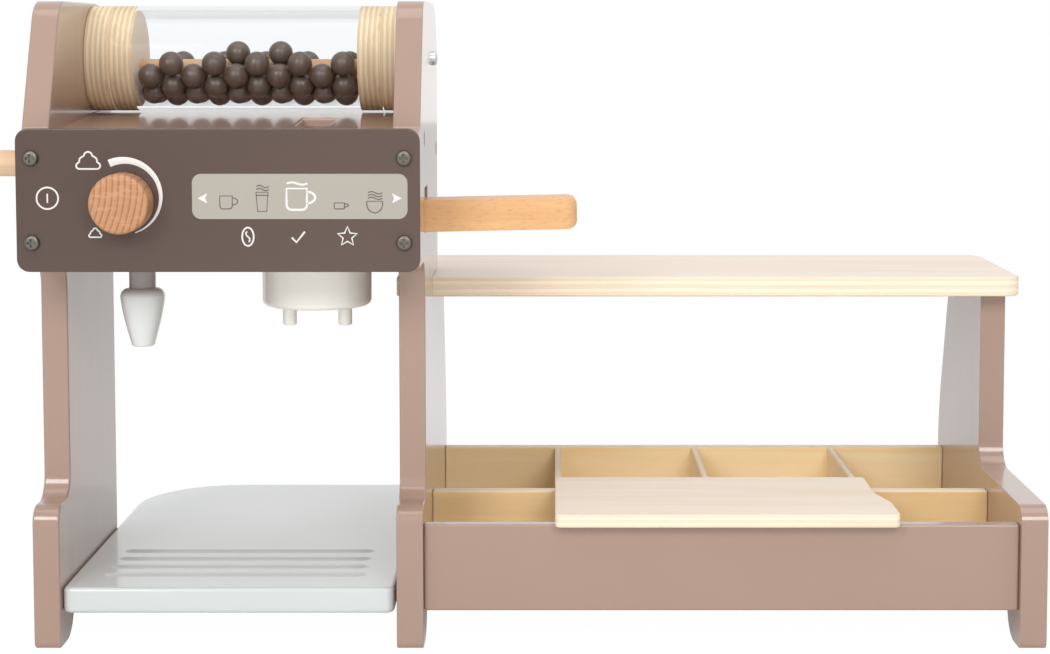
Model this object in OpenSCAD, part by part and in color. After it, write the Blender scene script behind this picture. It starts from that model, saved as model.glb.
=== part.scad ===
// A toy coffee machine made of painted boards, with a bean tube, a brewing bay and a storage box.
// Widths run along X from the left panel, depths along Y from the front of the feet, heights up.

/* [Side panels] */
// Thickness of each side panel
panel_t = 12; // [9:0.5:15]
// Clear width of the brewing bay, between the left and middle panels
bay_w = 150.5; // [140:0.5:190]
// Clear width of the storage box, between the middle and right panels
box_w = 267.2; // [240:0.2:320]
// Depth of the left panel and of the head
head_d = 126; // [122:1:140]
// Depth of the middle and right panels at the floor
base_d = 209; // [200:1:240]
// Height of the ledge on the front feet
foot_z = 64.5; // [62:0.5:75]
// How far the column stands behind the front of the feet
column_y = 24; // [18:1:30]
// How far the head reaches forward of the feet
head_reach = 15; // [10:1:25]
// Height of the head's underside
head_z = 173; // [168:1:190]
// Height of the side panels' top
top_z = 290; // [286:1:320]
// Radius of the panels' rear top corner
crown_r = 30; // [10:1:40]
// Depth of each foot where it leaves the panel
foot_l = 28; // [24:1:32]
// Radius that rounds each foot off towards the arch
foot_round = 15; // [6:0.5:16]
// Height of the arch between the feet
arch_z = 16.5; // [10:0.5:16.5]
// Outer radius of the ledge on the front feet
ledge_r = 8; // [4:0.5:12]
// Inner radius where the column meets that ledge
ledge_hollow_r = 11; // [6:0.5:12]
// How far the rear edge slopes in below the shelf
rear_slope_in = 28; // [10:1:40]
// Height of that slope
rear_slope_h = 78; // [50:1:80]
// Radius at the foot of that slope
rear_slope_r = 120; // [60:5:125]
// How far the right panel's column stands behind the shelf's front edge
right_column_in = 14.5; // [10:0.5:16]

/* [Head] */
// Thickness of the head's front, back and top boards
board_t = 12; // [9:0.5:14]
// Thickness of the head's floor board
deck_t = 8; // [6:0.5:9]
// Height of the top plate above the head's underside, at its front edge
plate_rise = 59; // [55:0.5:60]
// Slope of the top plate, rising rearwards
plate_slope = 3.2; // [0:0.1:3.3]
// How far the back board stands inside the panels' rear edge
back_inset = 4; // [0:0.5:6]
// Width of the slot for coffee tabs in the top plate
tab_w = 15.5; // [12:0.5:20]
// Length of that slot, front to back
tab_l = 37; // [30:0.5:40]
// Distance of the slot's middle from the left panel's outer face
tab_x = 123.8; // [112:0.2:128]
// Distance of the slot's middle behind the front of the feet
tab_y = 38; // [30:0.5:40]

/* [Control panel] */
// How much wider the control panel is than the head
face_over = 0.5; // [0:0.1:2]
// Height of the control panel
face_h = 62.3; // [60:0.1:66]
// Thickness of the control panel
face_t = 3; // [2:0.5:5]
// Corner radius of the control panel
face_r = 5.5; // [2:0.5:10]
// Distance of the corner screws from the ends of the panel
face_screw_x = 6.9; // [5:0.1:9]
// Distance of the corner screws from the top and bottom of the panel
face_screw_z = 12.8; // [8:0.1:20]

/* [Steam knob] */
// Diameter of the knob
knob_d = 26; // [16:0.5:36]
// Length of the knob
knob_l = 13.6; // [10:0.2:20]
// Distance of the knob from the left panel's outer face
knob_x = 47; // [40:0.1:60]
// Height of the knob above the head's underside
knob_rise = 29.5; // [25:0.5:36]
// Diameter of the knob's shaft
shaft_d = 8; // [5:0.5:10]
// Diameter of the collar that keeps the shaft in
collar_d = 16; // [12:0.5:22]
// Thickness of that collar
collar_t = 6; // [3:0.5:10]

/* [Bean tube] */
// Outer diameter of the tube
tube_d = 50; // [46:0.5:50]
// Wall of the tube
tube_wall = 2; // [1.5:0.1:3]
// Height of the tube's axis
tube_z = 263.6; // [263.6:0.1:265]
// Distance of the tube's axis from the panels' rear edge
tube_inset = 36; // [30:0.5:40]
// Thickness of the plugs' outer discs
flange_t = 11.2; // [8:0.1:12]
// Thickness of the plugs' inner discs
core_t = 11.2; // [6:0.1:11.5]
// Diameter of the dowel that ties the plugs
tie_d = 8; // [6:0.5:9]
// How far that dowel lies below the tube's axis
tie_drop = 4.3; // [2:0.1:4.5]
// Diameter of a bean
bean_d = 11.7; // [10:0.1:11.7]

/* [Brew outlet and steam wand] */
// Diameter of the brew outlet
outlet_d = 50.6; // [40:0.2:52]
// Height of the brew outlet
outlet_h = 23.6; // [18:0.2:30]
// Distance of the outlet from the left panel's outer face
outlet_x = 122.6; // [110:0.2:124]
// Distance of the outlet's axis behind the front of the feet
outlet_y = 50; // [46:0.5:54]
// Diameter of a spout
spout_d = 6.5; // [4:0.5:10]
// Distance of the outlet's screws from its axis, along and across
outlet_screw_off = 12; // [9:0.5:13]
// Distance between the spouts
spout_gap = 25.8; // [16:0.2:30]
// How far the spouts hang below the outlet
spout_drop = 9.4; // [5:0.2:14]
// Diameter of the wand's rod
wand_d = 12; // [8:0.5:13]
// Largest diameter of the wand's tip
tip_d = 20.2; // [16:0.2:24]
// Height of the wand's tip
tip_h = 26.6; // [20:0.2:32]
// Length of bare rod above the tip
wand_show = 13.1; // [8:0.1:20]
// Distance of the wand from the left panel's outer face
wand_x = 45.4; // [30:0.2:60]
// Distance of the wand's axis behind the front of the feet
wand_y = 28.6; // [20:0.2:34]

/* [Brew lever] */
// Width of the lever, front to back
lever_w = 21; // [16:0.5:24]
// Height of the lever
lever_h = 14.4; // [12:0.2:16]
// Length of the lever outside the middle panel
lever_out = 68.9; // [50:0.1:90]
// Distance of the lever's pivot inside the middle panel
pivot_in = 34; // [28:0.5:40]
// Height of the pivot above the head's floor board
pivot_rise = 11; // [10.8:0.1:12]
// Slope of the resting lever, rising outwards
lever_slope = 1.2; // [0:0.1:1.2]
// Distance of the lever's middle behind the front of the feet
lever_y = 33.5; // [30:0.5:36]
// Height of the slot that the lever moves in
slot_h = 20.3; // [18:0.1:24]
// Diameter of the pivot pin
pin_d = 5; // [3:0.5:6]
// Thickness of the bracket's ears
ear_t = 5; // [3:0.5:6]

/* [Drip tray] */
// Thickness of the tray
tray_t = 11.8; // [9:0.2:14]
// Height of the tray's underside
tray_z = 15.5; // [13:0.5:17]
// How far the tray's front lies behind the front of the feet
tray_y = 3; // [0:0.5:8]
// Depth of the tray
tray_d = 224; // [180:1:230]
// Space between the tray and the middle panel
tray_gap = 1.3; // [0.5:0.1:3]
// Radius of the tray's rear left corner
tray_round = 50; // [10:1:70]
// Number of drip grooves
groove_n = 4; // [2:1:6]
// Distance from groove to groove
groove_pitch = 15; // [12:0.5:18]
// Width of a groove
groove_w = 7; // [4:0.5:9]
// Depth of a groove
groove_deep = 1.5; // [1:0.1:2.5]
// Distance of the grooves from the tray's ends
groove_end = 18; // [10:0.5:30]
// Diameter of the dowels that hold the tray
tray_dowel_d = 6; // [4:0.5:6]
// Length of those dowels
tray_dowel_l = 24; // [18:1:30]
// Distance of those dowels from the front and rear edges of the left panel
tray_dowel_inset = 14.5; // [12:0.5:16]

/* [Hanging peg] */
// Diameter of the peg
peg_d = 12; // [8:0.5:14]
// How far the peg stands out of the left panel
peg_out = 23.3; // [15:0.1:40]
// How deep the peg's tenon sits in the panel
peg_in = 8; // [4:0.5:8]
// Diameter of the peg's tenon
peg_tenon_d = 9; // [6:0.5:10]
// Height of the peg
peg_z = 216.3; // [200:0.1:218]
// Distance of the peg behind the front of the feet
peg_y = 35; // [20:0.5:60]

/* [Cup shelf] */
// Thickness of the shelf
shelf_t = 9.5; // [8:0.5:12]
// Height of the shelf's underside
shelf_z = 149; // [140:0.5:152]
// Distance of the shelf's front edge behind the front of the feet
shelf_y = 84; // [80:0.5:90]
// Depth of the shelf
shelf_d = 106; // [96:1:115]
// How far the shelf reaches into the brewing bay
shelf_in = 5.6; // [2:0.1:10]
// How far the shelf reaches past the right panel
shelf_out = 4.7; // [2:0.1:15]
// Corner radius of the shelf
shelf_r = 8; // [3:0.5:20]
// Diameter of the dowels that hold the shelf
shelf_dowel_d = 6; // [4:0.5:7]
// Length of those dowels
shelf_dowel_l = 18; // [12:0.5:24]
// Distance of those dowels from the front and rear edges of the shelf
shelf_dowel_inset = 26; // [22:1:32]

/* [Storage box] */
// Height of the box's floor underside
box_z = 16.6; // [16.5:0.1:20]
// Thickness of the box's floor
box_floor_t = 4; // [3:0.5:6]
// Distance of the front board behind the front of the feet
front_y = 4; // [2:0.5:8]
// Thickness of the front board
front_t = 7; // [6:0.5:9]
// Thickness of the middle and rear walls
wall_t = 8; // [6:0.5:10]
// Distance of the middle wall behind the front of the feet
middle_y = 75; // [60:1:76]
// Distance of the rear wall behind the front of the feet
rear_y = 195; // [180:1:196]
// Height of the front board's and middle wall's top
wall_z = 55.8; // [50:0.2:60]
// Height of the rear wall's top
rear_z = 54; // [45:0.5:54]
// Thickness of a divider
divider_t = 3; // [2:0.5:5]
// Distance from divider to divider
divider_pitch = 73.2; // [60:0.2:76]
// Number of dividers
divider_n = 3; // [3:1:3]

/* [Lid] */
// Length of the lid at its rear edge
lid_l = 149; // [120:1:170]
// How much longer the lid is at its front
lid_extra = 5; // [1:0.5:8]
// Thickness of the lid
lid_t = 6; // [4:0.5:8]
// How far the lid hangs over the front of the feet
lid_over = 3; // [0:0.5:6]
// Bearing of the lid on the middle wall
lid_bearing = 4; // [3:0.5:6]
// Distance of the lid from the middle panel
lid_x = 58.9; // [40:0.1:60]

/* [Screws] */
// Head diameter of the screws
screw_head_d = 6.8; // [6:0.1:8]
// Head height of the screws
screw_head_h = 2.2; // [1.8:0.1:3]
// Shank diameter of the screws
screw_d = 3.5; // [3:0.1:4]
// Length of the screws that join the boards, with the depth of their sunk heads
screw_l = 28; // [24:1:32]
// How deep the underside of a sunk head lies in its panel
head_sink = 3; // [3:0.1:4]
// Length of the control panel's screws
face_screw_l = 16; // [10:1:20]
// Length of the screws that hold the outlet
outlet_screw_l = 16; // [12:1:18]

/* [Hidden] */
$fn = 64;

// Clearances
run_gap = 0.06;     // a pin or shaft that turns in its bore, on the radius
seat_gap = 0.1;     // a dowel, pin or screw that is fixed in its hole, on the radius
play = 0.4;         // faces that pass each other
rest_gap = 0.3;     // a loose piece at rest beside what carries it
eps = 1;            // how far a cutter runs past the face that it cuts

// Places of the panels
mid_x = panel_t + bay_w;
box_x = mid_x + panel_t;
right_x = box_x + box_w;

// Places in the head
front_face = -head_reach;
plate_z0 = head_z + plate_rise;
back_y = head_d - back_inset - board_t;
deck_top = head_z + deck_t;
face_w = bay_w + 2 * panel_t + face_over;
face_z = head_z - 1;
face_front = front_face - face_t;
tube_y = head_d - tube_inset;
tube_r = tube_d / 2;
tube_bore_r = tube_r - tube_wall;
knob_z = head_z + knob_rise;
knob_front = face_front - play - knob_l;
pivot_x = mid_x - pivot_in;
pivot_z = deck_top + pivot_rise;
lever_tail = 12;
lever_r = 4;

// Room that the resting lever leaves to the bottom of its slot
slot_z = pivot_z - lever_h / 2 / cos(lever_slope) + pivot_in * tan(lever_slope) - rest_gap;

// Places of the shelf, the tray and the lid
shelf_x0 = mid_x - shelf_in;
shelf_x1 = right_x + panel_t + shelf_out;
tray_top = tray_z + tray_t;
tray_w = bay_w - tray_gap;
lid_z = wall_z + run_gap * 3;
lid_d = middle_y + lid_bearing + lid_over;

// Middle of the whole, over the floor
origin_x = (shelf_x1 - peg_out) / 2;
origin_y = (tray_y + tray_d + knob_front) / 2;

// Board screws: [depth, height] of each one
housing_screw_at = [
    [column_y - 2, plate_top(column_y - 2) - board_t / 2],
    [back_y + board_t / 2, head_z + plate_rise * 0.78]
];
tray_dowel_at = [tray_dowel_inset, head_d - tray_dowel_inset];
box_screw_z = (box_z + wall_z) / 2;
box_screw_at = [
    [front_y + front_t / 2, box_screw_z],
    [middle_y + wall_t / 2, box_screw_z],
    [rear_y + wall_t / 2, box_screw_z]
];
plug_screw_at = [[tube_y, tube_z]];
plug_screw_l = panel_t + flange_t - 1.2;
shelf_dowel_at = [shelf_y + shelf_dowel_inset, shelf_y + shelf_d - shelf_dowel_inset];
outlet_screw_y = outlet_y + outlet_screw_off;
outlet_screw_at = [
    [outlet_x - outlet_screw_off, outlet_screw_y],
    [outlet_x + outlet_screw_off, outlet_screw_y]
];

wall_paint = "#b99f92";
beech = "#e2b284";
ply = "#eedcc0";
zinc = "#b9b9b4";

// Height of the top plate's upper face at a depth y
function plate_top(y) = plate_z0 + (y + head_reach) * tan(plate_slope);

// A corner p1 between p0 and p2, rounded with radius r in n steps
function unit(v) = v / norm(v);
function arc_corner(p0, p1, p2, r, n = 8) =
    let (
        u = unit(p0 - p1),
        v = unit(p2 - p1),
        half = acos(max(-1, min(1, u * v))) / 2,
        back = min(r / tan(half), 0.9 * norm(p0 - p1), 0.9 * norm(p2 - p1)),
        rr = back * tan(half),
        c = p1 + unit(u + v) * rr / sin(half),
        s = p1 + u * back - c,
        e = p1 + v * back - c,
        a0 = atan2(s[1], s[0]),
        turn = atan2(e[1], e[0]) - a0,
        sweep = turn > 180 ? turn - 360 : turn < -180 ? turn + 360 : turn
    )
    [for (i = [0:n]) c + rr * [cos(a0 + sweep * i / n), sin(a0 + sweep * i / n)]];

// An outline from corners [x, y, radius], with each corner rounded
function rounded(c) = [
    for (i = [0:len(c) - 1])
        let (
            before = c[(i + len(c) - 1) % len(c)],
            here = c[i],
            after = c[(i + 1) % len(c)]
        )
        each here[2] == 0
            ? [[here[0], here[1]]]
            : arc_corner([before[0], before[1]], [here[0], here[1]], [after[0], after[1]], here[2])
];

// Stands an outline drawn in depth and height up as a board across X
module across(x, t) {
    translate([x, 0, 0]) rotate([90, 0, 90]) linear_extrude(t) children();
}

// Puts everything over the middle of its footprint
module placed() {
    translate([-origin_x, -origin_y, 0]) children();
}

module bore_x(x, y, z, r, l) {
    translate([x, y, z]) rotate([0, 90, 0]) cylinder(r = r, h = l);
}

module bore_y(x, y, z, r, l) {
    translate([x, y, z]) rotate([-90, 0, 0]) cylinder(r = r, h = l);
}

// Pan-head screw: the head above z = 0, the shank below it
module pan_screw(l) {
    hr = screw_head_d / 2;
    slot_w = 1;
    tip_l = 3;
    difference() {
        rotate_extrude() polygon(concat(
            [[0, screw_head_h]],
            [for (a = [90:-15:0]) [hr - 1.4 + 1.4 * cos(a), screw_head_h - 1.6 + 1.6 * sin(a)]],
            [[hr, 0], [screw_d / 2, 0], [screw_d / 2, tip_l - l], [0, -l]]
        ));
        for (a = [0, 90])
            rotate(a) translate([-hr * 0.55, -slot_w / 2, screw_head_h - 1.2])
                cube([hr * 1.1, slot_w, 2]);
    }
}

// Screws driven into a panel along +X (side = 1) or -X (side = -1), with the head at x
module screws_x(x, places, side, l) {
    for (p = places)
        translate([x, p[0], p[1]]) rotate([0, -90 * side, 0]) pan_screw(l);
}

// Screws whose heads are sunk in a panel, from the panel's face at x
module sunk_screws_x(x, places, side) {
    screws_x(x + side * head_sink, places, side, screw_l - head_sink);
}

module holes_x(x, places, l, d = screw_d) {
    for (p = places) bore_x(x, p[0], p[1], d / 2 + seat_gap, l);
}

// Pockets for sunk heads, from the panel's face at x
module head_pockets_x(x, places, side) {
    holes_x(side > 0 ? x - eps : x - head_sink, places, head_sink + eps, screw_head_d);
}

// The arch between two feet of a panel that is d deep
function arch(d) = [
    [d - foot_l, 0, min(foot_round, arch_z - 1)],
    [d - foot_l, arch_z, 1],
    [foot_l, arch_z, 1],
    [foot_l, 0, min(foot_round, arch_z - 1)]
];

// Front edge of the left and middle panels, from the floor up to the crown
head_edge = [
    [0, 0, 3],
    [0, foot_z, ledge_r],
    [column_y, foot_z, ledge_hollow_r],
    [column_y, head_z, 12],
    [front_face, head_z, 2],
    [front_face, plate_z0 - 1, 3],
    [front_face + 9, plate_z0 + 2, 2],
    [front_face + 34, top_z, 14]
];

// Rear of the middle and right panels below the shelf
base_rear = [
    [base_d - rear_slope_in, shelf_z, 8],
    [base_d, shelf_z - rear_slope_h, rear_slope_r],
    [base_d, 0, 3]
];

left_outline = concat(
    head_edge,
    [[head_d, top_z, crown_r], [head_d, 0, 3]],
    arch(head_d)
);

middle_outline = concat(
    head_edge,
    [
        [head_d, top_z, crown_r],
        [head_d, shelf_z + shelf_t + rest_gap, 2],
        [shelf_y - rest_gap, shelf_z + shelf_t + rest_gap, 0],
        [shelf_y - rest_gap, shelf_z, 0]
    ],
    base_rear,
    arch(base_d)
);

right_outline = concat(
    [
        [0, 0, 3],
        [0, foot_z, ledge_r],
        [shelf_y + right_column_in, foot_z, ledge_hollow_r],
        [shelf_y + right_column_in, shelf_z, 2]
    ],
    base_rear,
    arch(base_d)
);

// Screw holes of the control panel, for a cutter of radius r
module face_holes(r, l) {
    for (x = [face_screw_x, face_w - face_screw_x])
        for (z = [face_z + face_screw_z, face_z + face_h - face_screw_z])
            bore_y(x, face_front - eps, z, r, l);
}

module left_side_panel() {
    color(wall_paint) difference() {
        across(0, panel_t) polygon(rounded(left_outline));
        holes_x(-eps, concat(housing_screw_at, plug_screw_at), panel_t + 2 * eps);
        head_pockets_x(0, housing_screw_at, 1);
        face_holes(screw_d / 2 + seat_gap, face_t + face_screw_l + eps);
        bore_x(-eps, peg_y, peg_z, peg_tenon_d / 2 + seat_gap, peg_in + eps);
        tray_dowel_rods(seat_gap);
    }
}

module middle_side_panel() {
    color(wall_paint) difference() {
        across(mid_x, panel_t) polygon(rounded(middle_outline));
        holes_x(
            mid_x - eps,
            concat(housing_screw_at, plug_screw_at, box_screw_at),
            panel_t + 2 * eps
        );
        head_pockets_x(box_x, housing_screw_at, -1);
        head_pockets_x(mid_x, box_screw_at, 1);
        face_holes(screw_d / 2 + seat_gap, face_t + face_screw_l + eps);
        translate([mid_x - eps, lever_y - lever_w / 2 - play, slot_z])
            cube([panel_t + 2 * eps, lever_w + 2 * play, slot_h]);
        tray_dowel_rods(seat_gap);
    }
}

module right_side_panel() {
    color(wall_paint) difference() {
        across(right_x, panel_t) polygon(rounded(right_outline));
        holes_x(right_x - eps, box_screw_at, panel_t + 2 * eps);
        head_pockets_x(right_x + panel_t, box_screw_at, -1);
        shelf_dowel_rods(seat_gap);
    }
}

module housing_top() {
    color(wall_paint) difference() {
        across(panel_t, bay_w) polygon([
            [front_face, plate_top(front_face)],
            [front_face, plate_top(front_face) - board_t],
            [back_y, plate_top(back_y) - board_t],
            [back_y, plate_top(back_y)]
        ]);
        holes_x(0, housing_screw_at, screw_l + seat_gap);
        holes_x(box_x - screw_l - seat_gap, housing_screw_at, screw_l + seat_gap);
        translate([tab_x - tab_w / 2, tab_y - tab_l / 2, head_z]) cube([tab_w, tab_l, top_z]);
    }
}

module housing_back() {
    color(wall_paint) difference() {
        across(panel_t, bay_w) polygon([
            [back_y, head_z],
            [back_y + board_t, head_z],
            [back_y + board_t, plate_top(back_y)],
            [back_y, plate_top(back_y)]
        ]);
        holes_x(0, housing_screw_at, screw_l + seat_gap);
        holes_x(box_x - screw_l - seat_gap, housing_screw_at, screw_l + seat_gap);
    }
}

module housing_floor() {
    color(wall_paint) difference() {
        translate([panel_t, front_face, head_z]) cube([bay_w, back_y - front_face, deck_t]);
        translate([wand_x, wand_y, head_z - eps])
            cylinder(d = wand_d + 2 * seat_gap, h = deck_t + 2 * eps);
        for (p = outlet_screw_at)
            translate([p[0], p[1], head_z - eps])
                cylinder(d = screw_d + 2 * seat_gap, h = deck_t + 2 * eps);
    }
}

module housing_front() {
    color(wall_paint) difference() {
        across(panel_t, bay_w) polygon([
            [front_face, deck_top],
            [front_face + board_t, deck_top],
            [front_face + board_t, plate_top(front_face + board_t) - board_t],
            [front_face, plate_top(front_face) - board_t]
        ]);
        bore_y(knob_x, front_face - eps, knob_z, shaft_d / 2 + run_gap, board_t + 2 * eps);
    }
}

module housing_screws() {
    color(zinc) {
        sunk_screws_x(0, housing_screw_at, 1);
        sunk_screws_x(box_x, housing_screw_at, -1);
    }
}

module control_panel() {
    color("#6f625c") difference() {
        translate([0, front_face, face_z]) rotate([90, 0, 0]) linear_extrude(face_t)
            polygon(rounded([
                [0, 0, face_r],
                [face_w, 0, face_r],
                [face_w, face_h, face_r],
                [0, face_h, face_r]
            ]));
        face_holes(screw_d / 2 + seat_gap, face_t + 2 * eps);
        bore_y(knob_x, face_front - eps, knob_z, shaft_d / 2 + play, face_t + 2 * eps);
    }
}

module control_panel_screws() {
    color("#3b3734")
        for (x = [face_screw_x, face_w - face_screw_x])
            for (z = [face_z + face_screw_z, face_z + face_h - face_screw_z])
                translate([x, face_front, z]) rotate([90, 0, 0]) pan_screw(face_screw_l);
}

module steam_knob() {
    bevel = 2;
    grip_in = knob_l - 4;
    color(beech) translate([knob_x, knob_front, knob_z]) rotate([-90, 0, 0])
        difference() {
            rotate_extrude() polygon(concat(
                [[0, 0]],
                [for (a = [-90:15:0])
                    [knob_d / 2 - bevel + bevel * cos(a), bevel + bevel * sin(a)]],
                [[knob_d / 2, knob_l], [0, knob_l]]
            ));
            translate([0, 0, knob_l - grip_in])
                cylinder(d = shaft_d + 2 * seat_gap, h = grip_in + eps);
        }
}

module knob_shaft() {
    color(beech)
        bore_y(
            knob_x, knob_front + 4 + seat_gap, knob_z, shaft_d / 2,
            knob_l - 4 + play + face_t + board_t + play + collar_t
        );
}

module knob_retainer() {
    color(ply) translate([knob_x, front_face + board_t + play, knob_z]) rotate([-90, 0, 0])
        difference() {
            cylinder(d = collar_d, h = collar_t);
            translate([0, 0, -eps]) cylinder(d = shaft_d + 2 * seat_gap, h = collar_t + 2 * eps);
        }
}

module bean_tube() {
    x0 = panel_t + flange_t + play;
    l = bay_w - 2 * (flange_t + play);
    color([0.93, 0.95, 0.96, 0.35]) difference() {
        bore_x(x0, tube_y, tube_z, tube_r, l);
        bore_x(x0 - eps, tube_y, tube_z, tube_bore_r, l + 2 * eps);
    }
}

// Tie dowel, grown by gap for the holes that take it
module tie_rod(gap) {
    tie_x = panel_t + flange_t - gap;
    bore_x(tie_x, tube_y, tube_z - tie_drop, tie_d / 2 + gap, bay_w - 2 * flange_t + 2 * gap);
}

// One disc of a plug, from x
module plug_disc(x, r, t) {
    color(ply) difference() {
        bore_x(x, tube_y, tube_z, r, t);
        holes_x(0, plug_screw_at, plug_screw_l + seat_gap);
        holes_x(box_x - plug_screw_l - seat_gap, plug_screw_at, plug_screw_l + seat_gap);
        tie_rod(seat_gap);
    }
}

module plug_flange_left() {
    plug_disc(panel_t, tube_r, flange_t - seat_gap);
}

module plug_flange_right() {
    plug_disc(mid_x - flange_t + seat_gap, tube_r, flange_t - seat_gap);
}

module plug_core_left() {
    plug_disc(panel_t + flange_t - seat_gap, tube_bore_r - run_gap, core_t);
}

module plug_core_right() {
    plug_disc(mid_x - flange_t - core_t + seat_gap, tube_bore_r - run_gap, core_t);
}

module tube_tie_dowel() {
    color(beech) tie_rod(0);
}

// Beans lie in slices along the tube, four and five in turn, each ring shifted by half a step
module coffee_beans() {
    ring_r = tube_bore_r - rest_gap - bean_d / 2;
    step = 2 * asin((bean_d + 0.1) / 2 / ring_r);
    pitch = sqrt(pow(bean_d + 0.1, 2) - pow(2 * ring_r * sin(step / 4), 2));
    room = bay_w - 2 * (flange_t + core_t) - 2 * rest_gap - bean_d;
    n = floor(room / pitch) + 1;
    mid = panel_t + bay_w / 2;
    // Two more beans lie on top, against the tie dowel
    heap_y = 7.5;
    heap_reach = tie_d / 2 + bean_d / 2 + rest_gap;
    heap_z = sqrt(pow(heap_reach, 2) - pow(heap_y, 2)) - tie_drop;
    color("#4b3c33") for (i = [0:n - 1]) {
        x = mid + (i - (n - 1) / 2) * pitch;
        even = i % 2 == 0;
        for (k = even ? [-1.5:1:1.5] : [-2:1:2])
            translate([x, tube_y + ring_r * sin(k * step), tube_z - ring_r * cos(k * step)])
                sphere(d = bean_d);
        if (i == 4 || i == 6)
            translate([x, tube_y - heap_y, tube_z + heap_z]) sphere(d = bean_d);
    }
}

module plug_screws() {
    color(zinc) {
        screws_x(0, plug_screw_at, 1, plug_screw_l);
        screws_x(box_x, plug_screw_at, -1, plug_screw_l);
    }
}

// Puts the lever's outline, drawn from the pivot in X and Z, at its pivot and slope
module at_pivot() {
    translate([pivot_x, lever_y, pivot_z]) rotate([0, -lever_slope, 0]) children();
}

module brew_lever() {
    l = pivot_in + panel_t + lever_out;
    h = lever_h / 2;
    color(beech) at_pivot() difference() {
        translate([0, lever_w / 2, 0]) rotate([90, 0, 0]) linear_extrude(lever_w)
            polygon(rounded([
                [-lever_tail, -h, 2],
                [l, -h, lever_r],
                [l, h, lever_r],
                [-lever_tail, h, 2]
            ]));
        bore_y(0, -lever_w / 2 - eps, 0, pin_d / 2 + run_gap, lever_w + 2 * eps);
    }
}

ear_y = lever_w / 2 + play;

module lever_pin() {
    color(zinc) bore_y(
        pivot_x, lever_y - ear_y - ear_t, pivot_z, pin_d / 2, 2 * (ear_y + ear_t)
    );
}

module lever_bracket() {
    w = 14;
    base_t = 1.5;
    r = w / 2;
    color(ply) difference() {
        union() {
            translate([pivot_x - r, lever_y - ear_y - ear_t, deck_top])
                cube([w, 2 * (ear_y + ear_t), base_t]);
            for (y = [lever_y - ear_y - ear_t, lever_y + ear_y]) {
                translate([pivot_x - r, y, deck_top]) cube([w, ear_t, pivot_rise]);
                bore_y(pivot_x, y, pivot_z, r, ear_t);
            }
        }
        bore_y(
            pivot_x, lever_y - ear_y - ear_t - eps, pivot_z, pin_d / 2 + seat_gap,
            2 * (ear_y + ear_t + eps)
        );
    }
}

spout_in = 8;

// The two spouts, grown by gap for the holes that take them
module spout_rods(gap) {
    bottom = head_z - outlet_h;
    for (s = [-1, 1])
        translate([outlet_x + s * spout_gap / 2, outlet_y, bottom - spout_drop])
            cylinder(d = spout_d + 2 * gap, h = spout_drop + spout_in + gap);
}

module brew_outlet() {
    r = outlet_d / 2;
    round = 3;
    color("#e9e4da") difference() {
        translate([outlet_x, outlet_y, head_z - outlet_h]) rotate_extrude() polygon(concat(
            [[0, 0]],
            [for (a = [-90:15:0]) [r - round + round * cos(a), round + round * sin(a)]],
            [[r, outlet_h], [0, outlet_h]]
        ));
        spout_rods(seat_gap);
        for (p = outlet_screw_at)
            translate([p[0], p[1], deck_top - outlet_screw_l - seat_gap])
                cylinder(d = screw_d + 2 * seat_gap, h = outlet_screw_l);
    }
}

module brew_spouts() {
    color("#eee9df") spout_rods(0);
}

module outlet_screws() {
    color(zinc) for (p = outlet_screw_at)
        translate([p[0], p[1], deck_top]) pan_screw(outlet_screw_l);
}

rod_in = 12;
tip_top = head_z - wand_show;

// The wand's rod, grown by gap for the hole in its tip
module wand_stick(gap) {
    translate([wand_x, wand_y, tip_top - rod_in - gap])
        cylinder(d = wand_d + 2 * gap, h = rod_in + wand_show + deck_t + gap);
}

module wand_rod() {
    color("#a9a8a4") wand_stick(0);
}

module wand_tip() {
    r = tip_d / 2;
    foot_r = tip_d * 0.26;
    shoulder = 4;
    color("#f4f2ee") difference() {
        translate([wand_x, wand_y, tip_top - tip_h]) rotate_extrude() polygon(concat(
            [[0, 0], [foot_r - 1, 0], [foot_r, 1]],
            [for (t = [0.2:0.2:0.8])
                [foot_r + (r - foot_r) * (t + sin(90 * t)) / 2, 1 + (tip_h - shoulder - 1) * t]],
            [for (a = [0:15:90])
                [r - shoulder + shoulder * cos(a), tip_h - shoulder + shoulder * sin(a)]],
            [[0, tip_h]]
        ));
        wand_stick(seat_gap);
    }
}

// Dowels between the tray and its two panels, grown by gap for their holes
module tray_dowel_rods(gap) {
    in_panel = panel_t * 0.6;
    for (x = [panel_t - in_panel, mid_x + in_panel - tray_dowel_l])
        for (y = tray_dowel_at)
            bore_x(
                x - gap, y, tray_z + tray_t / 2, tray_dowel_d / 2 + gap, tray_dowel_l + 2 * gap
            );
}

module drip_tray() {
    bottom_r = (pow(groove_w / 2, 2) + pow(groove_deep, 2)) / 2 / groove_deep;
    color("#dddcd8") difference() {
        translate([panel_t, tray_y, tray_z]) linear_extrude(tray_t) polygon(rounded([
            [0, 0, 4],
            [tray_w, 0, 4],
            [tray_w, tray_d, 4],
            [0, tray_d, tray_round]
        ]));
        for (i = [0:groove_n - 1])
            translate([
                panel_t + groove_end,
                column_y + tray_y + i * groove_pitch,
                tray_top + bottom_r - groove_deep
            ]) {
                rotate([0, 90, 0]) cylinder(r = bottom_r, h = tray_w - 2 * groove_end);
                sphere(r = bottom_r);
                translate([tray_w - 2 * groove_end, 0, 0]) sphere(r = bottom_r);
            }
        tray_dowel_rods(seat_gap);
    }
}

module tray_dowels() {
    color(beech) tray_dowel_rods(0);
}

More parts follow.
